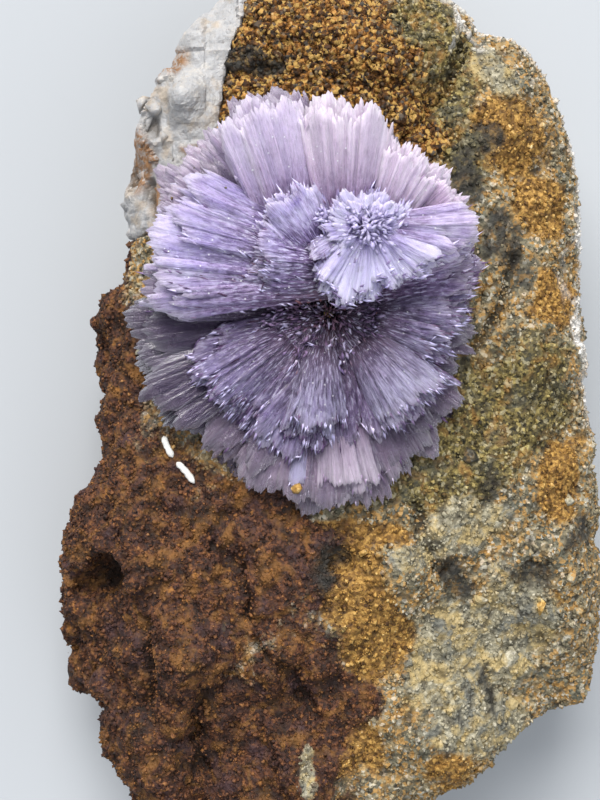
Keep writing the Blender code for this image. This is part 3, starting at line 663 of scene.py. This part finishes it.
def build_stones(rock, draw):
    """The cream and grey stones that stand out of the rock, and the two white needles."""
    points = points_of(rock.data)
    rows = [((x, y, height_at(points, x, y)), (wide, long, 1.6)) for x, y, wide, long, _ in STONES]
    values = {key: [float(key == zone) for *_, zone in STONES] for key in ZONES}
    values["tone"] = draw.uniform(0.7, 0.95, len(STONES))
    mesh = stones_mesh("cream_knobs", rows, draw, values)
    dress(new_object("cream_knobs", mesh, rock.data.materials[0]))
    lines = [[(x, y, height_at(points, x, y) + 0.25) for x, y in line] for line in NEEDLES]
    needles = rods_mesh("white_needles", lines, NEEDLE_RADIUS, draw)
    finish = Finish("white_needles")
    cloud = finish.noise(finish.place(), 2)
    chalky = finish.ramp(cloud, [(0.3, (0.62, 0.6, 0.55)), (0.6, (0.85, 0.84, 0.8))])
    finish.set(Base_Color=chalky, Roughness=0.6)
    dress(new_object("white_needles", needles, finish.material))


def dress(piece, node=None):
    """Hangs a piece on the root body, and hides the imported part that it stands in for."""
    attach(piece, "root")
    if node:
        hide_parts(node)


def scattered(mesh, weights, count, draw):
    """Random places on the mesh with their normals and nearest points, denser where weights are higher."""
    mesh.calc_loop_triangles()
    corners = np.empty(3 * len(mesh.loop_triangles), dtype=np.int32)
    mesh.loop_triangles.foreach_get("vertices", corners)
    corners = corners.reshape(-1, 3)
    points = points_of(mesh)
    a, b, c = (points[corners[:, i]] for i in range(3))
    cross = np.cross(b - a, c - a)
    area = np.linalg.norm(cross, axis=1) / 2
    chance = area * weights[corners].mean(axis=1)
    picked = draw.choice(len(corners), size=count, p=chance / chance.sum())
    u, v = draw.random(count), draw.random(count)
    flip = u + v > 1
    u, v = np.where(flip, 1 - u, u), np.where(flip, 1 - v, v)
    places = a[picked] + (b - a)[picked] * u[:, None] + (c - a)[picked] * v[:, None]
    normals = cross[picked] / (2 * area[picked])[:, None]
    return places, normals, corners[picked, 0]


OCTAHEDRON = (
    np.array([(1, 0, 0), (-1, 0, 0), (0, 1, 0), (0, -1, 0), (0, 0, 1), (0, 0, -1)], dtype=float),
    np.array([(4, 0, 2), (4, 2, 1), (4, 1, 3), (4, 3, 0), (5, 2, 0), (5, 1, 2), (5, 3, 1), (5, 0, 3)]),
)
CUBE = (
    np.array([(x, y, z) for x in (-1, 1) for y in (-1, 1) for z in (-1, 1)], dtype=float) * 0.8,
    np.array([(0, 1, 3), (0, 3, 2), (4, 6, 7), (4, 7, 5), (0, 4, 5), (0, 5, 1), (2, 3, 7), (2, 7, 6),
              (0, 2, 6), (0, 6, 4), (1, 5, 7), (1, 7, 3)]),
)


def build_grains(name, rock, masks, weights, count, size, shape, draw):
    """A layer of tiny crystals in one mesh, half sunk in the rock and stained like it."""
    places, normals, nearest = scattered(rock.data, weights, count, draw)
    scale = size * draw.gamma(4, 0.25, count).clip(0.4, 2.2)
    sizes = scale[:, None] * draw.uniform(0.55, 1.25, (count, 3))
    centres = places + normals * (0.1 * scale)[:, None]
    values = {key: mask[nearest] for key, mask in masks.items()}
    values["tone"] = draw.beta(2, 2.6, count)
    mesh = joined_copies(name, *shape, centres, random_turns(count, draw), sizes, values)
    dress(new_object(name, mesh, rock.data.materials[0]))


def rough_stone(draw, corners=11):
    """The points and triangles of a small angular stone about 1 across."""
    bm = bmesh.new()
    for _ in range(corners):
        way = Vector(draw.normal(size=3)).normalized()
        bm.verts.new(way * draw.uniform(0.42, 0.55))
    bmesh.ops.convex_hull(bm, input=bm.verts)
    bmesh.ops.delete(bm, geom=[v for v in bm.verts if not v.link_faces], context="VERTS")
    bmesh.ops.triangulate(bm, faces=bm.faces)
    bm.verts.index_update()
    points = np.array([v.co[:] for v in bm.verts])
    triangles = np.array([[v.index for v in f.verts] for f in bm.faces])
    bm.free()
    return points, triangles


def build_quartz(draw):
    """The white quartz mass: a knobbly body and the broken blocks that stand out of it."""
    mesh = dense_copy("quartz_block", QUARTZ_VOXEL)
    points = points_of(mesh)
    masks = zone_masks(points, QUARTZ_ZONES)
    broad = each_point(points, lambda p: noise.fractal(p / 4, 0.9, 2.1, 4))
    blocks = each_point(points, lambda p: noise.cell(p / 3.2))
    grains = cell_bumps(points, 1.1)
    move_out(mesh, 0.2 + 0.35 * broad + 0.25 * blocks + 0.15 * (grains - 0.5) - 0.7 * masks["hollow"])
    for key, numbers in masks.items():
        set_values(mesh, key, numbers)
    finish = quartz_finish()
    body = new_object("quartz_surface", mesh, finish)
    dress(body, "quartz_block")
    left = 0.15 + eased((-14.5 - points[:, 0]) / 3) * eased((35.5 - points[:, 1]) / 3)
    weights = eased((points_of(mesh)[:, 2] - 9) / 3) * (1 - masks["hollow"]) * left
    places, normals, _ = scattered(mesh, weights, KNOB_COUNT, draw)
    sizes = draw.uniform(0.9, 2.8, (KNOB_COUNT, 1)) * draw.uniform(0.75, 1.2, (KNOB_COUNT, 3))
    centres = places - normals * 0.38 * sizes[:, :1]
    knobs = stones_mesh("quartz_knobs", list(zip(centres, sizes)), draw, zone_masks(centres, QUARTZ_ZONES))
    dress(new_object("quartz_knobs", knobs, finish))


# Crystal blades

def spray_turn(azimuth, elevation, lean):
    """The turn that takes +X to a spray's direction."""
    turn = Matrix.Rotation(math.radians(azimuth), 3, "Z") @ Matrix.Rotation(math.radians(-elevation), 3, "Y")
    return turn @ Matrix.Rotation(math.radians(lean), 3, "X")


ROWS = np.array([0.04, 0.25, 0.46, 0.66, 0.82, 0.93, 1])[:, None]


def fan_sheet(spray, draw):
    """One thin sheet of joined blades that spread from a root: its points, triangles and values."""
    x, y, z, azimuth, elevation, lean, length, wide, thick, root, droop, arch, _, blade, *look = spray
    pink, frost, ragged = look
    end = end_width(length, wide, root)
    count = max(3, round(2 * end / blade))
    edges = np.cumsum(np.concatenate([[0], draw.uniform(0.4, 1.6, count)]))
    edges = 2 * edges / edges[-1] - 1
    gaps = np.diff(edges)[:, None]
    tip = draw.uniform(0.3, 0.7, (count, 1))
    places = np.concatenate([np.full((count, 1), 0.04), tip, np.full((count, 1), 0.96)], axis=1)
    u = edges[:-1, None] + gaps * places
    group = np.cumsum(draw.random(count) < 0.3)
    middles = np.array([u[group == g].mean() for g in group])[:, None]
    spans = np.array([np.ptp(u[group == g]) / 2 for g in group])[:, None] * end
    off = (u - middles) * end
    own = draw.uniform(-ragged, 0.01, group.max() + 1)[group][:, None] * length
    spear = draw.uniform(0.5, 1.3, group.max() + 1)[group][:, None] * np.minimum(spans, 1)
    spear = spear * (1 - np.abs(off) / np.maximum(spans, 0.01))
    lobe = np.cumsum(draw.random(count) < 0.09)
    centre = np.array([u[lobe == g].mean() for g in lobe])[:, None]
    reach = np.array([np.ptp(u[lobe == g]) / 2 for g in lobe])[:, None] * end
    bulge = np.minimum(reach, 2) * draw.uniform(0.2, 1, lobe.max() + 1)[lobe][:, None]
    spear = spear + bulge * (0.5 - np.abs(u - centre) * end / np.maximum(reach, 0.01))
    point = np.array([[0, 1, 0]])
    teeth = gaps * end * draw.uniform(0.2, 0.9, (count, 1)) * point
    teeth = teeth + spear + draw.uniform(-0.05, 0.05, u.shape)
    ridge = draw.normal(0, 0.06, group.max() + 1)[group][:, None] + draw.normal(0, 0.03, (count, 1))
    ridge = ridge + draw.normal(0, 0.1, group.max() + 1)[group][:, None] * off
    ridge = ridge + 0.1 * gaps * end * (point - 0.5)
    tone = np.repeat(draw.random(count), 3)
    u, own, teeth, ridge = (values.ravel() for values in (u, np.repeat(own, 3, axis=1), teeth, ridge))
    radial = (length * (1 - 0.1 * u * u) + own) * ROWS + teeth * eased((ROWS - 0.74) / 0.26)
    angle = np.radians(wide * u)
    wave = draw.uniform(0, 6.3, 2)
    middle = -0.1 * droop * length * ROWS ** 2 - arch * ROWS * u * u
    middle = middle + 0.2 * ROWS * (np.sin(3 * u + wave[0]) + 0.5 * np.sin(7 * u + wave[1]))
    half = 0.5 * thick * np.sqrt(1 - 0.9 * u * u) * np.minimum(1, 0.4 + 1.5 * ROWS)
    half = half * (1 - ROWS ** 4) + 0.025
    lift = ridge * np.minimum(1, 1.6 * ROWS) * (1 - 0.6 * ROWS ** 8)
    across = root * u + radial * np.sin(angle)
    upper = np.stack([radial * np.cos(angle), across, middle + half + lift], axis=2)
    lower = np.stack([radial * np.cos(angle), across, middle - half + 0.5 * lift], axis=2)
    ring = np.concatenate([upper, lower[:, ::-1]], axis=1)
    turn = np.array(spray_turn(azimuth, elevation, lean))
    points = ring.reshape(-1, 3) @ turn.T + np.array(HUB + Vector((x, y, z)))
    rows, size = ring.shape[:2]
    index = np.arange(rows * size).reshape(rows, size)
    a, b = index[:-1], index[1:]
    sides = np.stack([a, b, np.roll(b, -1, axis=1), np.roll(a, -1, axis=1)], axis=2).reshape(-1, 4)
    back = size - 1 - np.arange(u.size)
    here, there = np.arange(u.size)[:-1], np.arange(u.size)[1:]
    near = np.stack([index[0][i] for i in (here, there, back[1:], back[:-1])], axis=1)
    far = np.stack([index[-1][i] for i in (back[:-1], back[1:], there, here)], axis=1)
    quads = np.concatenate([sides, near, far])
    triangles = np.concatenate([quads[:, [0, 2, 1]], quads[:, [0, 3, 2]]])
    shift = draw.uniform(0, 60, 2)
    double = np.concatenate([u, u[::-1]])
    radii = np.concatenate([radial, radial[:, ::-1]], axis=1)
    grain = np.stack([np.broadcast_to(double * end * 3 + shift[0], radii.shape), radii * 0.25,
                      np.full(radii.shape, shift[1])], axis=2)
    values = {
        "tone": np.tile(np.concatenate([tone, tone[::-1]]), rows),
        "pink": np.full(rows * size, pink),
        "frost": np.full(rows * size, frost),
        "edge": np.repeat(ROWS, size, axis=1).ravel(),
        "grain": grain.reshape(-1, 3),
    }
    return points, triangles, values


def fan_sheets(spray, draw):
    """The overlapping sheets of a spray, each a part of its width at its own height."""
    x, y, z, azimuth, elevation, lean, length, wide, high, root, droop, arch, layers, *rest, ragged = spray
    turn = spray_turn(azimuth, elevation, lean)
    end = end_width(length, wide, root)
    found = []
    for layer in range(layers):
        v = 2 * layer / max(1, layers - 1) - 1
        parts = int(draw.integers(1, 3))
        cuts = np.sort(draw.uniform(-0.7, 0.7, parts - 1))
        bounds = np.concatenate([[-1], cuts, [1]])
        for low, top in zip(bounds[:-1], bounds[1:]):
            if top - low < 0.3:
                continue
            u, share = (low + top) / 2, (top - low) / 2 * 1.12
            sink = arch * u * u
            start = Vector((x, y, z)) + turn @ Vector((0, root * u, 0.25 * root * v))
            reach = length * (1 - 0.1 * u * u - draw.uniform(0, ragged) * (v + 1) / 2)
            rise = elevation + high * v + draw.normal(0, 1) - math.degrees(sink / length)
            tilt = lean + draw.normal(0, 4) - math.degrees(2 * arch * u / end)
            sheet = (*start, azimuth + wide * u, rise, tilt, reach, wide * share, draw.uniform(0.4, 0.8),
                     root * share, droop, arch * share * share, 0, *rest, ragged)
            found.append(fan_sheet(sheet, draw))
    return found


def end_width(length, wide, root):
    """Half width of a fan at its end."""
    return root + length * math.tan(math.radians(wide))


def hub_crystals(draw):
    """Small dark crystals that bristle around the hub and in the pits, and pale ones on the frosty tufts. The
    few white ones among the dark crystals are painted glints.
    """
    beds = np.repeat(np.array(CRYSTAL_BEDS), [int(bed[4]) for bed in CRYSTAL_BEDS], axis=0)
    count = len(beds)
    way = draw.uniform(0, 360, count)
    share = draw.random(count) ** 0.6
    pale = beds[:, 6] < 0
    rise = np.where(pale, 16 - 22 * share, 62 - 38 * share)
    rise = rise + draw.normal(0, 18, count) * np.where(pale, 0.5, 1)
    turns = np.array([spray_turn(a + draw.normal(0, 22), e, draw.uniform(0, 180))
                      for a, e in zip(way, rise)])
    far = share * beds[:, 3]
    angle = np.radians(way)
    centres = np.stack([far * np.cos(angle), far * np.sin(angle), beds[:, 6] * far], axis=1)
    centres = centres + beds[:, :3] + np.array(HUB) + draw.normal(0, 0.35, (count, 3))
    sizes = np.stack([draw.uniform(0.2, 0.9, count), draw.uniform(0.08, 0.26, count),
                      draw.uniform(0.06, 0.16, count)], axis=1)
    sizes[pale] *= (0.8, 1.3, 1.2)
    # White crystals: frost on the pale beds, painted glints among the dark ones.
    white = draw.random(count) < beds[:, 5]
    values = {
        "tone": draw.random(count), "pink": np.where(pale, 0.15, draw.uniform(0.2, 1, count)),
        "frost": np.where(white, 1.4, np.where(pale, 0.8, 0)), "edge": np.where(white, 0.88, 0.6),
        "outward": np.where(white | pale, 1, 0.16 + 0.4 * share),
        "grain": draw.uniform(0, 60, (count, 3)),
    }
    return joined_copies("hub_crystals", *OCTAHEDRON, centres, turns, sizes, values)


def fine_crystals(name, fans, count, plain, draw):
    """Short crystals that lie along the fans, only where nothing covers them. About a third are painted pale
    as glints.
    """
    surface = fans.data
    points, normals = points_of(surface), vectors_of(surface, "normal")
    away = np.linalg.norm(points - np.array(HUB), axis=1)
    weights = eased((normals[:, 2] - 0.1) / 0.4) * eased((away - 2) / 3) * eased((19 - away) / 4)
    weights = weights * (1 - plain * values_of(surface, "pink"))
    weights = weights * eased(2 * values_of(surface, "frost") + 1)
    weights = weights * (1 - 0.8 * plain * eased((away - 9) / 6))
    places, up, nearest = scattered(surface, weights + 1e-9, 4 * count, draw)
    bpy.context.view_layer.update()
    above = Vector((0, 0, 0.15))
    free = [not fans.ray_cast((Vector(p) + above) * MM, (0, 0, 1))[0] for p in places]
    places, up, nearest = (found[free][:count] for found in (places, up, nearest))
    along = places - np.array(HUB)
    along = unit(along - up * np.einsum("ni,ni->n", along, up)[:, None])
    along = along + up * draw.uniform(0.02, 0.35, (len(up), 1)) + draw.normal(0, 0.08, up.shape)
    along = unit(along)
    side = unit(np.cross(up, along))
    turns = np.stack([along, side, np.cross(along, side)], axis=2)
    long = draw.uniform(0.3, 1, len(up))
    sizes = np.stack([long, draw.uniform(0.08, 0.2, len(up)), draw.uniform(0.06, 0.14, len(up))], axis=1)
    # Painted glints: about a third of the crystals are made pale and frosted, the rest darker.
    painted_sparkle = draw.random(len(up)) < 0.3
    values = {key: values_of(surface, key)[nearest] for key in ("pink", "frost", "outward")}
    values["outward"] = np.clip(values["outward"] + np.where(painted_sparkle, 0.5, -0.35), 0.05, 1)
    values["frost"] = values["frost"] + np.where(painted_sparkle, 1.4, -0.25)
    values["edge"] = np.where(painted_sparkle, 0.9, 0.4)
    values["tone"] = draw.random(len(up))
    values["grain"] = draw.uniform(0, 60, (len(up), 3))
    mesh = joined_copies(name, *OCTAHEDRON, places, turns, sizes, values)
    dress(new_object(name, mesh, creedite_finish(name, 0.3, 1.25)))


def values_of(mesh, key):
    """The numbers stored in the mesh under this name."""
    found = np.empty(len(mesh.vertices), dtype=np.float32)
    mesh.attributes[key].data.foreach_get("value", found)
    return found


def joined(name, parts, lift):
    """One mesh of several sheets, kept above the rock. Lift is how much paler their frosty parts are."""
    points = np.concatenate([part[0] for part in parts])
    points[:, 2] = np.maximum(points[:, 2], bed_height(points[:, 0], points[:, 1]) + 0.1)
    offsets = np.cumsum([0] + [len(part[0]) for part in parts[:-1]])
    triangles = np.concatenate([part[1] + offset for part, offset in zip(parts, offsets)])
    values = {key: np.concatenate([part[2][key] for part in parts]) for key in parts[0][2]}
    out = np.linalg.norm(points - np.array(HUB), axis=1)
    frosty = eased((values["frost"] - 0.3) / 0.8) * (1 - values["pink"])
    values["outward"] = np.clip(out / 20 * 0.8 + values["edge"] * 0.2 + lift * frosty, 0, 1)
    return mesh_from_arrays(name, points, triangles, values)


def bed_height(x, y):
    """Height of the rock under the rosette."""
    return 25.5 - 0.006 * (x + 0.18) ** 2 - 0.0035 * np.minimum(0, y + 12) ** 2


def build_rosette(draw, rock_material):
    """The rosette's tiers of fans and tufts, with the specks of rock on it."""
    tiers = []
    hub = new_object("hub_crystals", hub_crystals(draw), creedite_finish("hub_crystals", 0.3, 1))
    dress(hub)
    for name, rows, clear, brightness_and_shade, soft, count, plain, lift in TIERS:
        parts = [sheet for number, spray in enumerate(rows)
                 for sheet in fan_sheets(spray, np.random.default_rng((SEED, len(name), number)))]
        mesh = joined(name, parts, lift)
        fans = new_object(name, mesh, creedite_finish(name, clear, brightness_and_shade, soft))
        dress(fans, "creedite_rosette")
        fine_crystals(name.replace("blades", "crystals"), fans, count, plain, draw)
        tiers.append(fans)
    rows = []
    for x, y, size, _ in SPECKS:
        hits = [fans.ray_cast(Vector((x, y, 60)) * MM, (0, 0, -1)) for fans in tiers]
        rows.append(((x, y, max(hit[1][2] / MM for hit in hits if hit[0])), (size, size, size)))
    values = {key: [float(key == zone) for *_, zone in SPECKS] for key in ZONES}
    values["tone"] = [0.75] * len(SPECKS)
    mesh = stones_mesh("rosette_specks", rows, draw, values)
    dress(new_object("rosette_specks", mesh, rock_material))


# Setting


def add_light(name, place, aim, size, power, colour):
    """A soft square light that looks at a point."""
    light = bpy.data.lights.new(name, "AREA")
    light.size = size
    light.energy = power
    light.color = colour
    made = bpy.data.objects.new(name, light)
    made.location = place
    made.rotation_euler = (Vector(aim) - Vector(place)).to_track_quat("-Z", "Y").to_euler()
    scene.collection.objects.link(made)


def build_setting():
    """A pale floor, soft light from the specimen's top end, and a camera that looks straight down."""
    floor_mesh = bpy.data.meshes.new("floor")
    floor_mesh.from_pydata([(-1, -1, 0), (1, -1, 0), (1, 1, 0), (-1, 1, 0)], [], [(0, 1, 2, 3)])
    f = Finish("floor")
    f.set(Base_Color=(0.42, 0.44, 0.46), Roughness=0.9)
    new_object("floor", floor_mesh, f.material)
    add_light("key", (-0.22, 0.94, 0.96), (0, 0.01, 0.02), size=1, power=33.5, colour=(1, 0.98, 0.96))
    add_light("fill", (0.28, -0.2, 0.58), (0, 0, 0.02), size=0.7, power=2.4, colour=(0.92, 0.96, 1))
    world = bpy.data.worlds.new("studio")
    world.use_nodes = True
    sky = world.node_tree.nodes["Background"].inputs
    sky["Color"].default_value = (0.85, 0.9, 1, 1)
    sky["Strength"].default_value = 0.38
    scene.world = world
    scene.view_settings.view_transform = "Standard"
    camera = bpy.data.cameras.new("camera")
    camera.lens = SENSOR / (2 * HALF_VIEW)
    viewer = bpy.data.objects.new("camera", camera)
    viewer.location = CAMERA_PLACE
    scene.collection.objects.link(viewer)
    scene.camera = viewer


def main():
    """Builds the specimen and its setting."""
    draw = np.random.default_rng(SEED)
    rock, masks = build_rock()
    points = points_of(rock.data)
    normals = vectors_of(rock.data, "normal")
    up = eased((normals[:, 2] + 0.1) / 0.5) * eased((points[:, 2] - 8) / 6)
    under = np.hypot((points[:, 0] + 1.7) / 14, (points[:, 1] - 12.5) / 16)
    shown = up * eased((under - 0.8) / 0.2)
    golden = shown * masks["golden"]
    rusty = shown * masks["rusty"] * (1 - masks["golden"])
    other = shown * (1 - np.maximum(masks["golden"], masks["rusty"])) * (1 - 0.6 * masks["dark"])
    for name, weights, count, size, shape in (
            ("golden_grains", golden + 0.02 * other, 10500, 0.225, CUBE),
            ("sandy_grains", other, 14500, 0.185, OCTAHEDRON),
            ("rusty_grains", rusty, 12500, 0.175, OCTAHEDRON)):
        build_grains(name, rock, masks, weights, count, size, shape, draw)
    build_stones(rock, draw)
    build_quartz(draw)
    build_rosette(draw, rock.data.materials[0])
    build_setting()


main()
